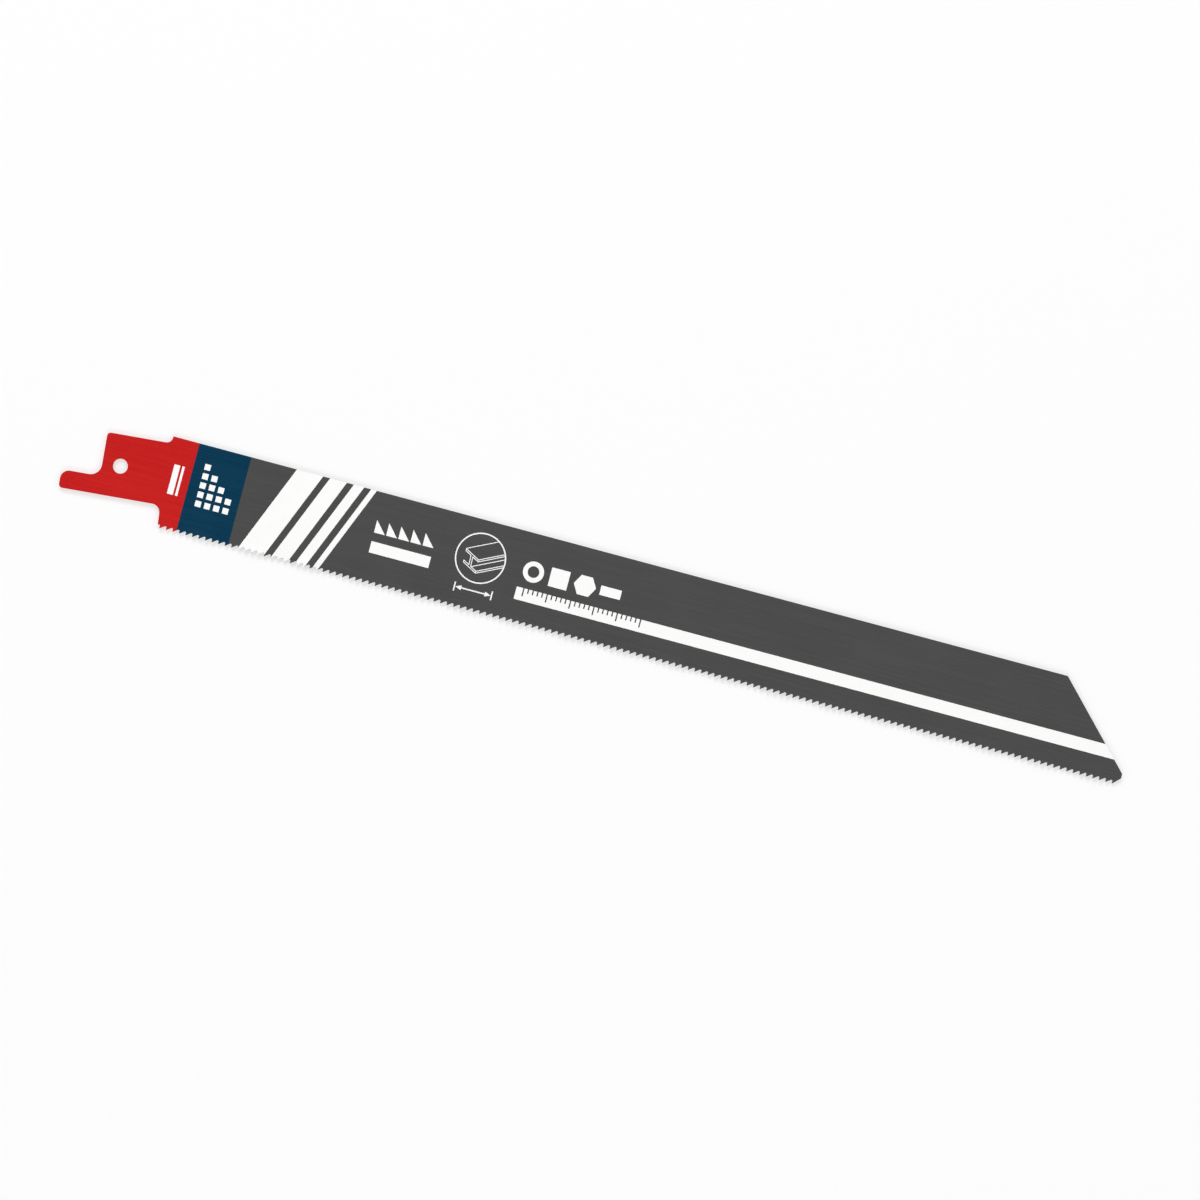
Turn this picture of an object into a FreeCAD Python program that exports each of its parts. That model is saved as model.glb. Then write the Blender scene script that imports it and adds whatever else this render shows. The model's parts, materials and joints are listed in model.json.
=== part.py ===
import FreeCAD, Part
import math
import os
import Sketcher

# A reciprocating saw blade: one flat strip of steel with a canted shank, a sheared tip and a toothed
# edge that is milled and then pressed into a wavy set. The origin is the centre of the shank's pin hole,
# at mid-thickness. +X runs along the blade to its tip, +Y to its back edge and +Z out of its upper face.
# Lengths are in millimetres and angles in degrees.
SIZES = [
    # Strip, measured from the pin hole's centre
    ("thickness", 0.9, "strip, face to face"),
    ("tip_reach", 216.58, "pin hole to the end of the tip"),
    ("back_height", 8.81, "pin hole to the back edge"),
    ("blade_width", 19.15, "back edge to the tooth tips"),
    # Tip
    ("tip_bevel", 46.0, "angle of the sheared tip to the back edge"),
    ("tip_face", 0.98, "short square face between the two bevels of the tip"),
    ("nose_length", 1.48, "last tooth tip to the end of the tip, at least"),
    ("nose_rise", 1.5, "tooth tips to the square face of the tip"),
    # Shank, along and across its own canted axis
    ("cant", 5.0, "angle of the shank to the blade"),
    ("shank_width", 13.0, "width of the shank, centred on the pin hole"),
    ("pin_diameter", 3.11, "pin hole"),
    ("notch_wall", 3.78, "pin hole to the notch wall"),
    ("tang_length", 8.07, "notch wall to the end of the tang"),
    ("tang_height", 3.78, "width of the tang"),
    ("tang_top_radius", 1.8, "tang corner beside the notch"),
    ("tang_foot_radius", 0.77, "tang corner on the toothed side"),
    ("notch_radius", 2.35, "inner corner of the notch"),
    ("block_radius", 0.75, "outer corner of the shank above the notch"),
    # Shoulders, where the shank meets the blade
    ("shoulder", 9.03, "pin hole to the upper shoulder"),
    ("shoulder_radius", 1.34, "inner corner of the upper shoulder"),
    ("heel", 10.69, "pin hole to the heel at the tooth tips"),
    ("heel_lean", 7.6, "lean of the heel wall"),
    ("heel_radius", 1.76, "inner corner above the heel wall"),
    # Toothed edge
    ("first_tooth", 11.1, "pin hole to the tip of the first tooth"),
    ("tooth_pitch", 1.397, "tooth tip to tooth tip"),
    ("flank_angle", 36.0, "rise of a tooth's back from its tip"),
    ("gullet_radius", 0.27, "round bottom of the gullet beside the cutting face"),
    ("edge_stock", 0.15, "metal below the tooth tips, which the milling takes away"),
    ("set_height", 2.0, "tooth tips to the line where the set begins"),
    ("set_offset", 0.2, "how far the wave carries the tooth tips to each side"),
    ("wave_teeth", 8, "teeth in one wave of the set"),
]

CLEAR = 2.0  # how far a cutting outline runs past the metal
WALL_SHARE = 0.9  # the most of a short wall's length that the radius in its corner takes
CROSSING = 0.25  # share of the tooth pitch by which two cuts run on past the tip where they cross

doc = FreeCAD.newDocument("saw_blade")
sheet = doc.addObject("Spreadsheet::Sheet", "Sizes")
for row, (alias, value, meaning) in enumerate(SIZES, start=1):
    sheet.set(f"A{row}", meaning)
    sheet.set(f"B{row}", str(value))
    sheet.setAlias(f"B{row}", alias)
doc.recompute()

body = doc.addObject("PartDesign::Body", "blade")
body.Label = "blade"

# Places that several outlines share, as expressions on the sheet's sizes
TOOTH_LINE = "(Sizes.back_height - Sizes.blade_width)"
EDGE_LINE = f"({TOOTH_LINE} - Sizes.edge_stock)"
PAST_TEETH = f"({EDGE_LINE} - {CLEAR})"
PAST_BACK = f"(Sizes.back_height + {CLEAR})"
SET_LINE = f"({TOOTH_LINE} + Sizes.set_height)"
TOOTH_GAPS = "floor((Sizes.tip_reach - Sizes.nose_length - Sizes.first_tooth) / Sizes.tooth_pitch)"
LAST_TOOTH = f"(Sizes.first_tooth + {TOOTH_GAPS} * Sizes.tooth_pitch)"
PAST_TOOTH = f"({CROSSING} * Sizes.tooth_pitch)"
WAVE = "(Sizes.wave_teeth * Sizes.tooth_pitch)"
EDGE_SWING = "(Sizes.set_offset * (Sizes.set_height + Sizes.edge_stock) / Sizes.set_height)"
HALF_SHANK = "(Sizes.shank_width / 2)"

# The edge starts as a plain strip that runs well under the shank, midway between two teeth that would
# stand there, and the heel is cut into it. The heel's wall and the shank's lower side are two leaning
# lines, and the heel's head is where they meet.
UNDER_SHANK = "(Sizes.first_tooth - Sizes.heel + 2 * Sizes.heel_radius)"
TEETH_UNDER_SHANK = f"(ceil({UNDER_SHANK} / Sizes.tooth_pitch) + 1 / 2)"
EDGE_START = f"(Sizes.first_tooth - {TEETH_UNDER_SHANK} * Sizes.tooth_pitch)"
LEAN, CANT = "tan(Sizes.heel_lean)", "tan(Sizes.cant)"
SHANK_DROP = f"({HALF_SHANK} / cos(Sizes.cant))"
HEEL_HEAD = f"((Sizes.heel + {LEAN} * ({SHANK_DROP} + {TOOTH_LINE})) / (1 + {LEAN} * {CANT}))"


def size(alias):
    """One driving dimension of the sheet, as a number."""
    return float(sheet.get(alias))


def origin_feature(role):
    """The body's own origin plane or axis of that role."""
    return next(feature for feature in body.Origin.OriginFeatures if feature.Role == role)


def new_sketch(name, plane="XY_Plane"):
    """An empty sketch on one of the body's origin planes."""
    sketch = body.newObject("Sketcher::SketchObject", name)
    sketch.AttachmentSupport = [(origin_feature(plane), "")]
    sketch.MapMode = "FlatFace"
    return sketch


def bind(sketch, constraint, expression):
    """Adds a dimension to a sketch and ties it to an expression on the sheet."""
    index = sketch.addConstraint(constraint)
    sketch.setExpression(f"Constraints[{index}]", expression)


def close_and_hold(sketch, places, corners):
    """Joins a sketch's edges into a ring and ties the first end of each to its corner, two expressions.
    An arc always runs anticlockwise, so either of its ends may be the first, the one at its place."""
    count = len(corners)
    firsts = [1 if sketch.getPoint(i, 1).isEqual(places[i], 1e-6) else 2 for i in range(count)]
    for i, (across, up) in enumerate(corners):
        following = (i + 1) % count
        joint = Sketcher.Constraint("Coincident", i, 3 - firsts[i], following, firsts[following])
        sketch.addConstraint(joint)
        bind(sketch, Sketcher.Constraint("DistanceX", -1, 1, i, firsts[i], places[i].x), across)
        bind(sketch, Sketcher.Constraint("DistanceY", -1, 1, i, firsts[i], places[i].y), up)
    doc.recompute()


def draw_outline(sketch, corners):
    """Draws a closed outline of straight edges. They start as a small regular polygon, and the places
    of the corners then stretch it into shape."""
    count = len(corners)
    turn = 2 * math.pi / count
    ring = [FreeCAD.Vector(math.cos(turn * i), math.sin(turn * i), 0) for i in range(count)]
    for i in range(count):
        sketch.addGeometry(Part.LineSegment(ring[i], ring[(i + 1) % count]))
    close_and_hold(sketch, ring, corners)


def round_corner(sketch, corner, alias, wall=None):
    """Rounds one corner of an outline to a radius of the sheet, or to its share of a short wall."""
    radius = f"Sizes.{alias}"
    if wall:
        radius = f"min({radius}; {WALL_SHARE} * {wall})"
    start = float(sketch.evalExpression(radius))
    arc = sketch.GeometryCount
    sketch.fillet(corner, 1, start, True, True)
    bind(sketch, Sketcher.Constraint("Radius", arc, start), radius)
    doc.recompute()


def cut_through(name, sketch):
    """Cuts an outline through the whole strip, its set teeth included."""
    pocket = body.newObject("PartDesign::Pocket", name)
    pocket.Profile = sketch
    pocket.SideType = "Symmetric"
    pocket.setExpression("Length", f"Sizes.thickness + 2 * (Sizes.set_offset + {CLEAR})")
    doc.recompute()
    return pocket


def repeat_along(name, feature, spacing, copies):
    """Repeats a feature along the blade."""
    pattern = body.newObject("PartDesign::LinearPattern", name)
    pattern.Originals = [feature]
    pattern.Direction = (origin_feature("X_Axis"), [""])
    pattern.Mode = "Spacing"
    pattern.setExpression("Offset", spacing)
    pattern.setExpression("Occurrences", copies)
    body.Tip = pattern
    doc.recompute()


def on_shank(along, across):
    """A place on the canted shank, turned into the blade's own axes."""
    x = f"({along}) * cos(Sizes.cant) - ({across}) * sin(Sizes.cant)"
    y = f"({along}) * sin(Sizes.cant) + ({across}) * cos(Sizes.cant)"
    return x, y


def under_shank(along):
    """The height of the shank's lower side at a place along the blade."""
    return f"({along} * {CANT} - {SHANK_DROP})"


def make_blank():
    """The flat blank: shank, shoulder and the strip as far as the line where the set begins."""
    tang_top = f"Sizes.tang_height - {HALF_SHANK}"
    tang_end = "-Sizes.notch_wall - Sizes.tang_length"
    shoulder_foot = f"({SHANK_DROP} + Sizes.shoulder * {CANT})"
    sketch = new_sketch("blank_outline")
    draw_outline(sketch, [
        on_shank(tang_end, f"-{HALF_SHANK}"),
        on_shank(tang_end, tang_top),
        on_shank("-Sizes.notch_wall", tang_top),
        on_shank("-Sizes.notch_wall", HALF_SHANK),
        ("Sizes.shoulder", shoulder_foot),
        ("Sizes.shoulder", "Sizes.back_height"),
        ("Sizes.tip_reach", "Sizes.back_height"),
        ("Sizes.tip_reach", SET_LINE),
        (EDGE_START, SET_LINE),
        (EDGE_START, under_shank(EDGE_START)),
    ])
    round_corner(sketch, 0, "tang_foot_radius")
    round_corner(sketch, 1, "tang_top_radius")
    round_corner(sketch, 2, "notch_radius")
    round_corner(sketch, 3, "block_radius")
    round_corner(sketch, 4, "shoulder_radius", f"(Sizes.back_height - {shoulder_foot})")
    pad = body.newObject("PartDesign::Pad", "blank")
    pad.Profile = sketch
    pad.SideType = "Symmetric"
    pad.setExpression("Length", "Sizes.thickness")
    doc.recompute()


def make_pin_hole():
    """Pierces the round hole that the saw's pin drops into."""
    sketch = new_sketch("pin_outline")
    sketch.addGeometry(Part.Circle(FreeCAD.Vector(), FreeCAD.Vector(0, 0, 1), size("pin_diameter") / 2))
    sketch.addConstraint(Sketcher.Constraint("Coincident", 0, 3, -1, 1))
    bind(sketch, Sketcher.Constraint("Diameter", 0, size("pin_diameter")), "Sizes.pin_diameter")
    cut_through("pin_hole", sketch)


def wave_section(name, height, swing):
    """One wave of the edge, seen along the blade's width: a strip that is two half waves long. Without a
    swing it is straight, and with one its halves bow that far to one side and then to the other."""
    sketch = new_sketch(name, "XZ_Plane")
    sketch.setExpression(".AttachmentOffset.Base.z", f"-{height}")
    start = float(sketch.evalExpression(EDGE_START))
    half_wave = float(sketch.evalExpression(WAVE)) / 2
    bow_height = float(sketch.evalExpression(swing)) if swing else 0
    half_strip = size("thickness") / 2
    places = []
    corners = []
    for face, halves in ((-1, (0, 1, 2)), (1, (2, 1, 0))):
        for half in halves:
            places.append(FreeCAD.Vector(start + half * half_wave, face * half_strip, 0))
            corners.append((f"{EDGE_START} + {half} * {WAVE} / 2", f"{face} * Sizes.thickness / 2"))
    bows = (1, -1, 0, -1, 1, 0)
    for i, bow in enumerate(bows):
        first, last = places[i], places[(i + 1) % len(places)]
        if bow and swing:
            middle = (first + last) / 2 + FreeCAD.Vector(0, bow * bow_height, 0)
            sketch.addGeometry(Part.Arc(first, middle, last))
        else:
            sketch.addGeometry(Part.LineSegment(first, last))
    close_and_hold(sketch, places, corners)
    if swing:
        radius = f"({WAVE} / 4) ^ 2 / (2 * {swing}) + {swing} / 2"
        for i, bow in enumerate(bows):
            if bow:
                bind(sketch, Sketcher.Constraint("Radius", i, sketch.Geometry[i].Radius), radius)
    doc.recompute()
    return sketch


def make_set_edge():
    """The edge below the blank, with the set that is pressed into it: one wave, repeated to past the tip.
    It leans evenly from the line where the set begins to the lower edge of the metal to be milled."""
    loft = body.newObject("PartDesign::AdditiveLoft", "set_wave")
    loft.Profile = wave_section("set_start", SET_LINE, None)
    loft.Sections = [wave_section("set_end", EDGE_LINE, EDGE_SWING)]
    loft.Ruled = True
    doc.recompute()
    repeat_along("set_edge", loft, WAVE, f"ceil((Sizes.tip_reach - {EDGE_START}) / {WAVE})")


def make_tip():
    """Shears the tip: the long bevel from the back edge, a short square face and the nose below it. The
    nose's line runs on past the last tooth's tip, so that the two cuts cross there and leave it sharp."""
    past_tip = f"Sizes.tip_reach + {WAVE} + {CLEAR}"
    face_foot = f"({TOOTH_LINE} + Sizes.nose_rise)"
    face_head = f"({face_foot} + Sizes.tip_face)"
    nose_slope = f"Sizes.nose_rise / (Sizes.tip_reach - {LAST_TOOTH})"
    sketch = new_sketch("tip_outline")
    draw_outline(sketch, [
        (f"Sizes.tip_reach - ({PAST_BACK} - {face_head}) / tan(Sizes.tip_bevel)", PAST_BACK),
        ("Sizes.tip_reach", face_head),
        ("Sizes.tip_reach", face_foot),
        (f"{LAST_TOOTH} - {PAST_TOOTH}", f"{TOOTH_LINE} - {PAST_TOOTH} * {nose_slope}"),
        (f"{LAST_TOOTH} - {PAST_TOOTH}", PAST_TEETH),
        (past_tip, PAST_TEETH),
        (past_tip, PAST_BACK),
    ])
    cut_through("tip", sketch)


def make_heel():
    """Cuts the heel: below the shank's lower side, round its corner and down the leaning wall."""
    heel_foot = f"(Sizes.heel - ({PAST_TEETH} - {TOOTH_LINE}) * {LEAN})"
    before_edge = f"({EDGE_START} - {CLEAR})"
    sketch = new_sketch("heel_outline")
    draw_outline(sketch, [
        (HEEL_HEAD, under_shank(HEEL_HEAD)),
        (before_edge, under_shank(before_edge)),
        (before_edge, PAST_TEETH),
        (heel_foot, PAST_TEETH),
    ])
    round_corner(sketch, 0, "heel_radius", f"({under_shank(HEEL_HEAD)} - {TOOTH_LINE})")
    cut_through("heel", sketch)


def make_teeth():
    """Mills the gullet before the first tooth and repeats it along the edge. Each tooth has a square
    cutting face towards the shank, and a straight back that rises from its tip to the next gullet. The
    back's line runs on past the tip, so that neighbouring cuts cross there and leave it sharp."""
    back_foot = f"(Sizes.first_tooth - Sizes.tooth_pitch - {PAST_TOOTH})"
    sketch = new_sketch("gullet_outline")
    draw_outline(sketch, [
        (back_foot, f"{TOOTH_LINE} - {PAST_TOOTH} * tan(Sizes.flank_angle)"),
        (back_foot, PAST_TEETH),
        ("Sizes.first_tooth", PAST_TEETH),
        ("Sizes.first_tooth", f"{TOOTH_LINE} + Sizes.tooth_pitch * tan(Sizes.flank_angle)"),
    ])
    round_corner(sketch, 3, "gullet_radius")
    gullet = cut_through("gullet", sketch)
    repeat_along("teeth", gullet, "Sizes.tooth_pitch", f"{TOOTH_GAPS} + 1")


def check_model():
    """Stops the script where a feature has failed or the blade isn't one closed solid."""
    failed = [item.Name for item in doc.Objects if {"Invalid", "Error"} & set(item.State)]
    if failed:
        raise RuntimeError(f"failed: {', '.join(failed)}")
    if body.Shape.isNull() or not body.Shape.isValid() or len(body.Shape.Solids) != 1:
        raise RuntimeError("the blade isn't one valid solid")


make_blank()
make_pin_hole()
make_set_edge()
make_tip()
make_heel()
make_teeth()
check_model()

os.makedirs("parts", exist_ok=True)
body.Shape.exportStep(f"parts/{body.Label}.step")
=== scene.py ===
"""Looks of a reciprocating saw blade: its three fields of lacquer, its white print and a pale studio.
Lengths named here are in millimetres, in the blade's own frame: x along the blade from its pin hole,
y up towards the back edge and z out of the printed face."""
import bmesh
import bpy
import json
import math
from mathutils import Matrix, Vector


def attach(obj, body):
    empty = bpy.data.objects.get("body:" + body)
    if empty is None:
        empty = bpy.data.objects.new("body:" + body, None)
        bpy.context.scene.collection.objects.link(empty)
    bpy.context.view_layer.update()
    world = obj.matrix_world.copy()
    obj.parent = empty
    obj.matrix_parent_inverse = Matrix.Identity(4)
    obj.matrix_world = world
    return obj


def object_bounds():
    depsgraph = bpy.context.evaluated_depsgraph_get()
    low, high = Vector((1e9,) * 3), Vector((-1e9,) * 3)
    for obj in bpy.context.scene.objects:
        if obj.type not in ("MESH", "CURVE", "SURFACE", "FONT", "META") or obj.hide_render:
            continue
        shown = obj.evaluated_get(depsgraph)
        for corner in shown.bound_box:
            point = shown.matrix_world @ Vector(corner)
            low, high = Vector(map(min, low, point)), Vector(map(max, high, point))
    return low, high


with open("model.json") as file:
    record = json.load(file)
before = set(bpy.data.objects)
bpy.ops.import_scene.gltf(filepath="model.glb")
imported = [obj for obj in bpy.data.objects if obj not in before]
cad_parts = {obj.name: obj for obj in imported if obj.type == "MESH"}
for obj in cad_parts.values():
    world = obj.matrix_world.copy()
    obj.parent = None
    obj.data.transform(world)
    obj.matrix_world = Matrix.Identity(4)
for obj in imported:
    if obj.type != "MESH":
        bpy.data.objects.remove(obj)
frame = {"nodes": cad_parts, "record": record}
cad_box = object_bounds()
blade = frame["nodes"]["blade"]
mounts = {mount["name"]: mount for mount in frame["record"]["mounts"]}

MM = 0.001  # one millimetre in the scene's metres

# The blade's flat printed face, above mid-thickness
FACE = mounts["shank_face"]["pos_m"][2] / MM

# The photograph, and the blade's place in it
IMAGE_WIDTH = 1200  # px
PX_PER_MM = 4.8363
BLADE_TILT = math.radians(15)  # the blade runs down to the right
IMAGE_CENTRE = (102.97, -1.06)  # the place on the blade that is in the photograph's middle
CAMERA_HEIGHT = 1500  # over the printed face, so far up that the view has next to no perspective

# Fields of lacquer, by where they end along the blade
RED_END = 14.61
NAVY_END = 25.74

# Print
INK_HEIGHT = 0.02  # how far the ink stands on the lacquer
FINE = 0.28  # a fine printed line
WELD = 0.001  # vertices nearer to each other than this are one
ON_LINE = 0.0001  # vertices nearer to a cut than this lie on it
SHARP_TURN = math.radians(25)  # faces that meet at less than this shade as one


def from_screen(red, green, blue):
    """A colour as a screen shows it, 0 to 255, turned into the linear one that materials take."""
    def linear(level):
        share = level / 255
        return share / 12.92 if share <= 0.04045 else ((share + 0.055) / 1.055) ** 2.4
    return (linear(red), linear(green), linear(blue), 1)


RED = from_screen(199, 30, 30)
NAVY = from_screen(4, 55, 81)
DARK_GREY = from_screen(77, 76, 76)
INK_WHITE = from_screen(250, 250, 249)
FLOOR_WHITE = from_screen(252, 252, 252)


# Materials


class Signal:
    """What one node gives out, so that a material's maths reads as plain expressions."""

    def __init__(self, finish, socket):
        self.finish, self.socket = finish, socket

    def maths(self, operation, first, second):
        return self.finish.add("ShaderNodeMath", {0: first, 1: second}, operation=operation)

    def __add__(self, other):
        return self.maths("ADD", self, other)

    def __sub__(self, other):
        return self.maths("SUBTRACT", self, other)

    def __mul__(self, other):
        return self.maths("MULTIPLY", self, other)

    def __truediv__(self, other):
        return self.maths("DIVIDE", self, other)

    def __rsub__(self, other):
        return self.maths("SUBTRACT", other, self)

    __radd__ = __add__
    __rmul__ = __mul__

    def at_least(self, other):
        return self.maths("MAXIMUM", self, other)


class Finish:
    """One material or one room light, made of nodes. A material's shader stands ready with what is the
    same all over."""

    def __init__(self, owner, **constant):
        self.owner = owner
        self.owner.use_nodes = True
        self.tree = self.owner.node_tree
        self.shader = self.tree.nodes.get("Principled BSDF")
        for socket, value in constant.items():
            self.shader.inputs[socket.replace("_", " ")].default_value = value

    def add(self, kind, sockets=None, result=0, **settings):
        """Adds a node and gives back what it makes: first its settings, then a value or a link for each
        socket named or numbered."""
        node = self.tree.nodes.new(kind)
        for setting, value in settings.items():
            setattr(node, setting, value)
        for socket, value in (sockets or {}).items():
            self.feed(node, socket, value)
        return Signal(self, node.outputs[result])

    def feed(self, node, socket, value):
        """Gives one socket of a node a value, or the signal that drives it."""
        if isinstance(value, Signal):
            self.tree.links.new(value.socket, node.inputs[socket])
        else:
            node.inputs[socket].default_value = value

    def drive(self, socket, signal):
        """Lets a signal drive one socket of the finish's own shader."""
        self.feed(self.shader, socket, signal)

    def places(self, factors=(1, 1, 1)):
        """Where on the piece each point lies, in millimetres, times a factor for each axis. A factor
        below 1 draws a pattern out along its axis."""
        here = self.add("ShaderNodeTexCoord", result="Object")
        scale = tuple(factor / MM for factor in factors)
        return self.add("ShaderNodeMapping", {"Vector": here, "Scale": scale})

    def grain(self, size, detail=2, factors=(1, 1, 1), roughness=0.5):
        """An even random pattern to either side of 0, whose marks are about a size in millimetres."""
        sockets = {"Vector": self.places(factors), "Scale": 1 / size, "Detail": detail,
                   "Roughness": roughness}
        return self.add("ShaderNodeTexNoise", sockets) - 0.5

    def blend(self, share, first, second):
        """Two colours, mixed by a share."""
        sockets = {0: share, 6: first, 7: second}
        return self.add("ShaderNodeMix", sockets, result=2, data_type="RGBA", clamp_factor=True)

    def shade(self, colour, factor):
        """A colour made lighter or darker by a factor near 1."""
        even = self.add("ShaderNodeCombineColor", {"Red": factor, "Green": factor, "Blue": factor})
        sockets = {0: 1.0, 6: colour, 7: even}
        return self.add("ShaderNodeMix", sockets, result=2, data_type="RGBA", blend_type="MULTIPLY")

    def relief(self, height):
        """Raises the surface by a signal in millimetres."""
        bump = self.add("ShaderNodeBump", {"Height": height * MM, "Strength": 1.0, "Distance": 1.0})
        self.drive("Normal", bump)


def steel_lacquer():
    """Satin lacquer on rolled steel: red on the shank, then navy, then dark grey to the tip. It has a
    fine orange peel, and the steel's rolling marks show through it faintly, along the blade."""
    finish = Finish(bpy.data.materials.new("steel_lacquer"), Specular_IOR_Level=0.25)
    along = finish.add("ShaderNodeSeparateXYZ", {"Vector": finish.places()}, result="X")
    edge_wander, edge_softness = 0.05, 0.03
    ragged = along + finish.grain(0.35, detail=3) * edge_wander

    def past(place):
        """0 before a place along the blade and 1 past it, with the soft edge between two lacquers."""
        return finish.add("ShaderNodeClamp", {"Value": (ragged - place) / edge_softness + 0.5})

    fields = finish.blend(past(NAVY_END), finish.blend(past(RED_END), RED, NAVY), DARK_GREY)
    clouds = finish.grain(14, detail=3)
    rolling = finish.grain(0.3, detail=4, factors=(0.015, 1, 1), roughness=0.65)
    peel = finish.grain(0.5, detail=2)
    dust = finish.grain(0.07, detail=1, factors=(1, 1, 0.08))
    tone = 0.97 + clouds * 0.14 + rolling * 0.24 + dust * 0.14
    finish.drive("Base Color", finish.shade(fields, tone))
    finish.drive("Roughness", 0.29 + clouds * 0.10 + rolling * 0.24 + dust * 0.12)
    finish.relief(peel * 0.010 + rolling * 0.006 + dust * 0.0016)
    return finish.owner


def printed_ink():
    """Matt white ink, screen printed: dense, with a fine tooth and a hardly uneven tone."""
    finish = Finish(bpy.data.materials.new("printed_ink"), Specular_IOR_Level=0.35)
    tooth = finish.grain(0.12, detail=2)
    uneven = finish.grain(3, detail=3)
    tone = 0.99 + uneven * 0.03 + tooth * 0.02
    finish.drive("Base Color", finish.shade(INK_WHITE, tone))
    finish.drive("Roughness", 0.55 + uneven * 0.08 + tooth * 0.08)
    finish.relief(tooth * 0.003 + uneven * 0.002)
    return finish.owner


def studio_floor():
    """A plain pale floor. To the eye, much of its white is its own round the blade, so that shadows there
    stay soft, and all of it far off, so that the floor has no visible end."""
    finish = Finish(bpy.data.materials.new("studio_floor"), Roughness=0.9, Specular_IOR_Level=0.1,
                    Base_Color=FLOOR_WHITE)
    near, far = 300, 900
    own_near, own_far = 0.6, 1.0
    away = finish.add("ShaderNodeVectorMath", {0: finish.places()}, result="Value", operation="LENGTH")
    own_white = finish.add("ShaderNodeMapRange", {"Value": away, "From Min": near, "From Max": far,
                                                  "To Min": own_near, "To Max": own_far})
    rays = finish.add("ShaderNodeLightPath", result="Is Camera Ray")
    glow = finish.add("ShaderNodeEmission", {"Color": FLOOR_WHITE, "Strength": 1.0})
    lit = Signal(finish, finish.shader.outputs["BSDF"])
    seen = finish.add("ShaderNodeMixShader", {0: rays * own_white, 1: lit, 2: glow})
    finish.feed(finish.tree.nodes["Material Output"], "Surface", seen)
    return finish.owner


# Print, drawn flat in millimetres and then laid on the blade's face, or cut out of the face itself


def patch(drawing, *corners):
    """A flat patch with straight sides."""
    return drawing.faces.new([drawing.verts.new((x, y, 0)) for x, y in corners])


def oblong(drawing, left, low, right, high):
    """An upright rectangle."""
    patch(drawing, (left, low), (right, low), (right, high), (left, high))


def put_in_place(drawing, figure, centre, sides):
    """Turns a figure of equal sides so that its top side is level, and moves it to its centre."""
    bmesh.ops.rotate(drawing, verts=figure, matrix=Matrix.Rotation(math.pi / sides, 3, "Z"))
    bmesh.ops.translate(drawing, verts=figure, vec=(*centre, 0))


def disc(drawing, centre, radius, sides):
    """A filled figure of equal sides, such as a square or a hexagon."""
    filled = bmesh.ops.create_circle(drawing, cap_ends=True, segments=sides, radius=radius)["verts"]
    put_in_place(drawing, filled, centre, sides)


def hoop(drawing, centre, outer, inner, sides=96):
    """A round ring."""
    rim = bmesh.ops.create_circle(drawing, segments=sides, radius=outer)["verts"]
    edges = {edge for vert in rim for edge in vert.link_edges}
    grown = bmesh.ops.extrude_edge_only(drawing, edges=list(edges))["geom"]
    inside = [item for item in grown if isinstance(item, bmesh.types.BMVert)]
    bmesh.ops.scale(drawing, verts=inside, vec=(inner / outer, inner / outer, 1))
    put_in_place(drawing, rim + inside, centre, sides)


def inked_piece(name, shape):
    """Gives a shape in the scene's metres the ink's thickness, and makes it a piece of print."""
    grown = bmesh.ops.extrude_face_region(shape, geom=shape.faces[:])["geom"]
    raised = [item for item in grown if isinstance(item, bmesh.types.BMVert)]
    bmesh.ops.translate(shape, verts=raised, vec=(0, 0, INK_HEIGHT * MM))
    bmesh.ops.recalc_face_normals(shape, faces=shape.faces[:])
    for side in shape.faces:
        side.smooth = True
    for edge in shape.edges:
        edge.smooth = edge.calc_face_angle(math.pi) < SHARP_TURN
    mesh = bpy.data.meshes.new(name)
    shape.to_mesh(mesh)
    shape.free()
    mesh.materials.append(white_ink)
    piece = bpy.data.objects.new(name, mesh)
    bpy.context.scene.collection.objects.link(piece)
    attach(piece, "root")


def print_figure(name, draw):
    """Prints one figure on the blade's flat face."""
    drawing = bmesh.new()
    draw(drawing)
    onto_face = Matrix.Translation((0, 0, FACE * MM)) @ Matrix.Scale(MM, 4)
    bmesh.ops.transform(drawing, matrix=onto_face, verts=drawing.verts[:])
    inked_piece(name, drawing)


def cut(face, place, outward, drop=False):
    """Cuts through a face along a line, which a point on it and the direction across it give. What lies
    outward may be dropped."""
    geometry = face.verts[:] + face.edges[:] + face.faces[:]
    x, y = place
    bmesh.ops.bisect_plane(face, geom=geometry, dist=ON_LINE * MM, plane_co=(x * MM, y * MM, 0),
                           plane_no=(*outward, 0), clear_outer=drop)


def leave_bare(face, left, low, right, high):
    """Takes an upright rectangle out of a face."""
    for corner in ((left, low), (right, high)):
        cut(face, corner, (1, 0))
        cut(face, corner, (0, 1))
    centres = {side: side.calc_center_median() / MM for side in face.faces}
    inside = [side for side, (x, y, _) in centres.items() if left < x < right and low < y < high]
    bmesh.ops.delete(face, geom=inside, context="FACES")


def print_field(name, *cuts, bare=()):
    """Prints what is left of the blade's whole upper face, set teeth included, once it has been cut
    along some lines and some rectangles have been left bare."""
    face = bmesh.new()
    face.from_mesh(blade.data)
    bmesh.ops.remove_doubles(face, verts=face.verts[:], dist=WELD * MM)
    least_rise = 0.5  # of an upper face's normal
    aside = [side for side in face.faces if side.normal.z < least_rise]
    bmesh.ops.delete(face, geom=aside, context="FACES")
    for place, outward in cuts:
        cut(face, place, outward, drop=True)
    for rectangle in bare:
        leave_bare(face, *rectangle)
    inked_piece(name, face)


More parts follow.
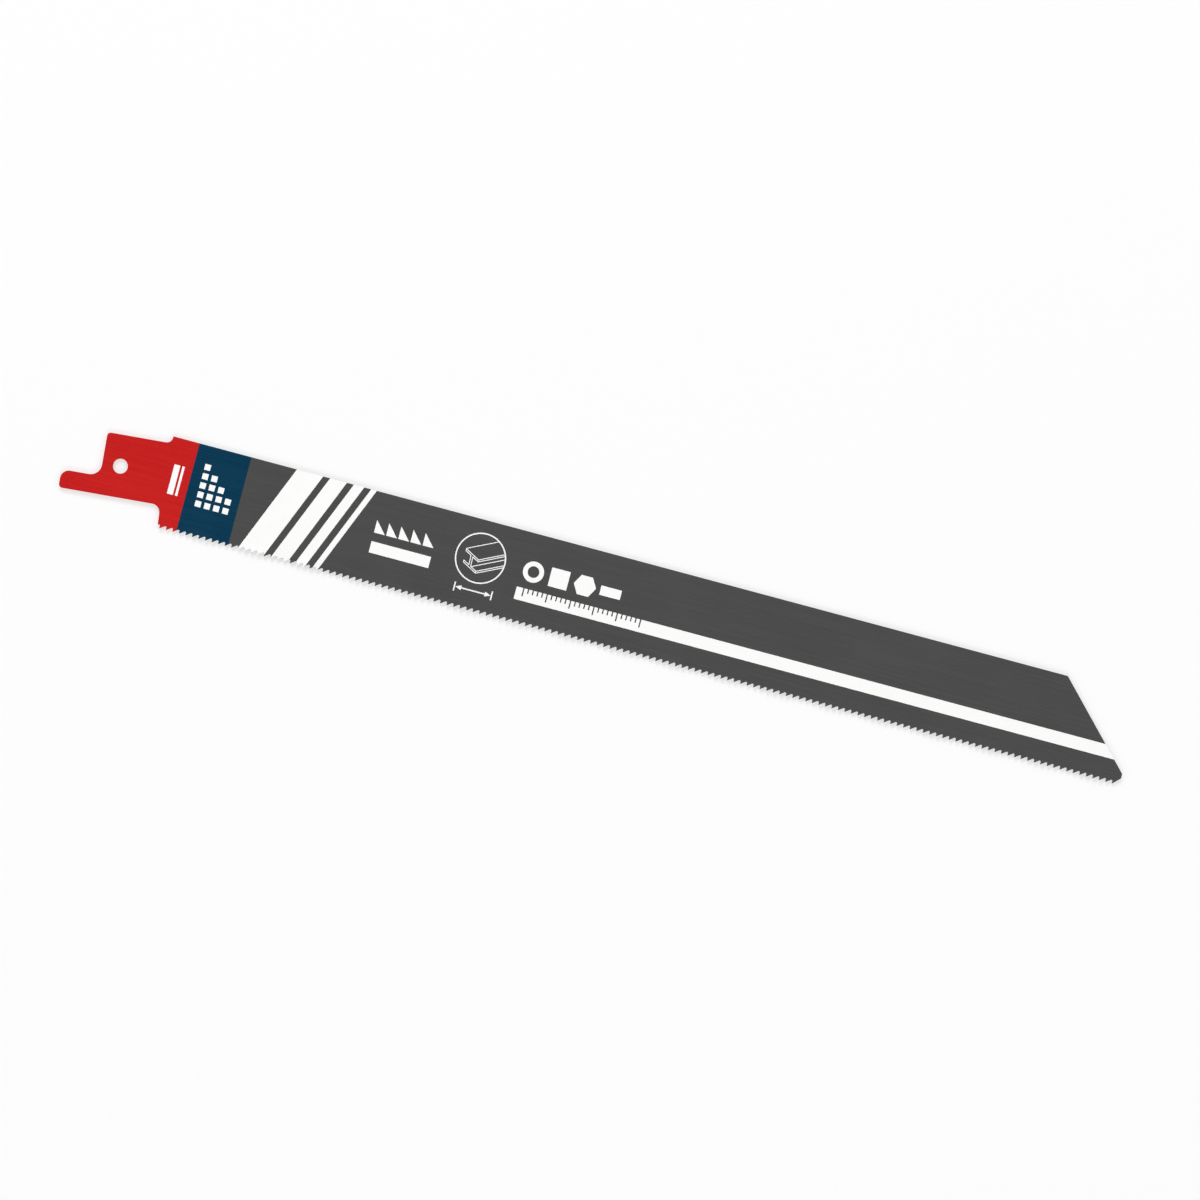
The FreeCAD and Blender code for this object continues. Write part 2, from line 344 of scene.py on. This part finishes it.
def print_slanted_bars():
    """Slanted bars over the blade's whole height, each thinner than the last."""
    lean = math.radians(22)
    forward = Vector((math.cos(lean), -math.sin(lean)))
    middle = (cad_box[0][1] + cad_box[1][1]) / 2 / MM
    start, gap = 31.6, 1.5
    for number, width in enumerate((5.6, 3.6, 2.2, 1.2), start=1):
        end = start + width
        print_field(f"slanted_bar_{number}", ((start, middle), -forward), ((end, middle), forward))
        start = end + gap


def print_long_stripe():
    """The stripe that runs from a square end to the bevel of the tip. Along the upper edge of its first
    stretch a rule of millimetres is left bare, with every fifth line longer."""
    start, high, low = 85.63, -2.78, -5.41
    margin, line_count = 1.4, 26
    short_line, long_line = 0.95, 1.7
    rule = []
    for number in range(line_count):
        left = start + margin + number
        length = short_line if number % 5 else long_line
        rule.append((left, high - length, left + FINE, high))
    print_field("long_stripe", ((start, 0), (-1, 0)), ((0, high), (0, 1)), ((0, low), (0, -1)), bare=rule)


def draw_two_strips(drawing):
    """A broad bar and a narrow one side by side, across the red field."""
    low, high = -2.95, 3.3
    left, broad, gap, narrow = 10.75, 1.25, 0.45, 0.5
    second = left + broad + gap
    oblong(drawing, left, low, left + broad, high)
    oblong(drawing, second, low, second + narrow, high)


def draw_square_rows(drawing):
    """Rows of small squares across the navy field, each row shorter than the last."""
    first, low, spacing, side = 16.9, -4.0, 1.95, 1.25
    for row, count in enumerate((5, 4, 3, 2)):
        left = first + row * spacing
        for number in range(count):
            foot = low + number * spacing
            oblong(drawing, left, foot, left + side, foot + side)


def draw_tooth_row(drawing):
    """A row of saw teeth over a solid bar."""
    left, pitch, count = 54.2, 2.6, 5
    tooth_low, tooth_high, tooth_width = 0.35, 3.0, 2.34
    bar_low, bar_high = -3.9, -1.5
    for tooth in range(count):
        back = left + tooth * pitch
        patch(drawing, (back, tooth_low), (back + tooth_width, tooth_low), (back, tooth_high))
    oblong(drawing, left, bar_low, back + tooth_width, bar_high)


def draw_beam_ring(drawing):
    """A ring round an I-beam in outline, drawn in slanting view. Its long edges run back to the ring,
    each a hair clear of what it meets, so that every line is a closed shape of its own."""
    centre, outer = Vector((76.88, 0.88)), 5.31
    inner, thin, hair = outer - FINE, 0.168, 0.01
    hoop(drawing, centre, outer, inner)

    # The beam's end face: its corners as shares of its width and height, and then in slanting view
    flange, web_left, web_right = 0.2, 0.4, 0.6
    section = [(0, 0), (1, 0), (1, flange), (web_right, flange), (web_right, 1 - flange), (1, 1 - flange),
               (1, 1), (0, 1), (0, 1 - flange), (web_left, 1 - flange), (web_left, flange), (0, flange)]
    corner, across, up = Vector((-3.3, -1.7)), Vector((3.1, -1.65)), Vector((-0.1, 3.0))
    points = [corner + across * share + up * height for share, height in section]
    end_face = patch(drawing, *(centre + point for point in points))
    end_face.normal_update()
    bmesh.ops.inset_individual(drawing, faces=[end_face], thickness=thin, use_even_offset=True)
    bmesh.ops.delete(drawing, geom=[end_face], context="FACES_ONLY")

    # Its long edges, each by the point that it starts from and the side of it on which the line lies
    back = Vector((1, 0.49)).normalized()

    def on_ring(point):
        """Where a line that runs back from a point ends, a hair before the ring."""
        along, reach = point.dot(back), inner - hair
        return point + back * (math.sqrt(along ** 2 - point.length_squared + reach ** 2) - along)

    for index, side in ((1, up), (2, -up), (3, across), (5, up), (6, -up), (7, across)):
        near = points[index] + back * hair
        far = near + side * thin / abs(side.cross(back))
        patch(drawing, *(centre + point for point in (near, far, on_ring(far), on_ring(near))))


def draw_measure(drawing):
    """A line with arrowheads between two end ticks, under the ring."""
    middle, height, reach = 77.1, -6.05, 4.1
    tick_reach, head_length, head_reach = 0.95, 1.3, 0.5
    tip = reach - FINE
    neck = tip - head_length
    head = [(neck, -FINE / 2), (neck, -head_reach), (tip, 0), (neck, head_reach), (neck, FINE / 2)]
    other_head = [(-x, -y) for x, y in head]
    patch(drawing, *((middle + x, height + y) for x, y in head + other_head))
    for side in (1, -1):
        oblong(drawing, middle + side * reach, height - tick_reach, middle + side * tip, height + tick_reach)


def draw_sections(drawing):
    """What the blade cuts, seen end on: a thick round tube, a square bar, a hexagon bar and a flat."""
    first, spacing, height, reach = 88.2, 5.5, 0.95, 2.2
    tube, square, hexagon, flat = (first + number * spacing for number in range(4))
    bore, half_square, hexagon_corner, half_flat = 1.21, 1.98, 2.376, 0.99
    hoop(drawing, (tube, height), reach, bore, sides=64)
    disc(drawing, (square, height), half_square * math.sqrt(2), sides=4)
    disc(drawing, (hexagon, height), hexagon_corner, sides=6)
    oblong(drawing, flat - reach, height - half_flat, flat + reach, height + half_flat)


# Studio


def lay_floor():
    """A wide floor at the height where the blade lies."""
    half_width = 4000
    sheet = bmesh.new()
    bmesh.ops.create_grid(sheet, x_segments=1, y_segments=1, size=half_width * MM)
    bmesh.ops.translate(sheet, verts=sheet.verts[:], vec=(0, 0, cad_box[0][2]))
    mesh = bpy.data.meshes.new("floor")
    sheet.to_mesh(mesh)
    sheet.free()
    mesh.materials.append(studio_floor())
    floor = bpy.data.objects.new("floor", mesh)
    bpy.context.scene.collection.objects.link(floor)


def hang_softbox(name, bearing, power):
    """A square softbox that faces the blade's middle from a bearing in degrees, with a power in watts.
    All hang at one rise: high enough to keep glare out of slanting views, and low enough to keep it out
    of the top view."""
    rise, distance, width = 48, 2000, 900
    light = bpy.data.lights.new(name, "AREA")
    light.shape = "SQUARE"
    light.size = width * MM
    light.energy = power
    lamp = bpy.data.objects.new(name, light)
    bpy.context.scene.collection.objects.link(lamp)
    middle = Vector((*IMAGE_CENTRE, 0))
    turn, lift = math.radians(bearing), math.radians(rise)
    level = math.cos(lift)
    away = Vector((math.cos(turn) * level, math.sin(turn) * level, math.sin(lift)))
    lamp.location = (middle + away * distance) * MM
    lamp.rotation_euler = away.to_track_quat("Z", "Y").to_euler()


def light_room():
    """Soft white light from the room's walls. Its ceiling is dark, so that the flat lacquer doesn't
    mirror it, and to the eye the room is plain white."""
    walls, ceiling = 0.3, 0.02
    wall_top, ceiling_edge = 0.6, 0.85  # by how much a direction rises, from 0 to 1 straight up
    studio = Finish(bpy.data.worlds.new("studio"))
    bpy.context.scene.world = studio.owner
    direction = studio.add("ShaderNodeTexCoord", result="Generated")
    rise = studio.add("ShaderNodeSeparateXYZ", {"Vector": direction}, result="Z")
    room = studio.add("ShaderNodeMapRange", {"Value": rise, "From Min": wall_top, "From Max": ceiling_edge,
                                             "To Min": walls, "To Max": ceiling})
    seen = studio.add("ShaderNodeLightPath", result="Is Camera Ray")
    background = studio.tree.nodes["Background"]
    background.inputs["Color"].default_value = FLOOR_WHITE
    studio.feed(background, "Strength", room.at_least(seen))


def set_camera():
    """The photograph's own view: straight down through a long lens, with the blade tilted in it."""
    camera = bpy.data.cameras.new("camera")
    camera.angle = 2 * math.atan(IMAGE_WIDTH / PX_PER_MM / 2 / CAMERA_HEIGHT)
    holder = bpy.data.objects.new("camera", camera)
    bpy.context.scene.collection.objects.link(holder)
    holder.location = Vector((*IMAGE_CENTRE, FACE + CAMERA_HEIGHT)) * MM
    holder.rotation_euler = (0, 0, BLADE_TILT)
    bpy.context.scene.camera = holder


blade.data.materials.clear()
blade.data.materials.append(steel_lacquer())
white_ink = printed_ink()
print_slanted_bars()
print_long_stripe()
print_figure("two_strips", draw_two_strips)
print_figure("square_rows", draw_square_rows)
print_figure("tooth_row", draw_tooth_row)
print_figure("beam_ring", draw_beam_ring)
print_figure("measure_line", draw_measure)
print_figure("stock_sections", draw_sections)
lay_floor()
for softbox, bearing, power in (("key", 112, 23), ("right", 22, 7), ("fill", -68, 12), ("left", 202, 7)):
    hang_softbox(f"{softbox}_softbox", bearing, power)
light_room()
set_camera()
bpy.context.scene.view_settings.view_transform = "Standard"
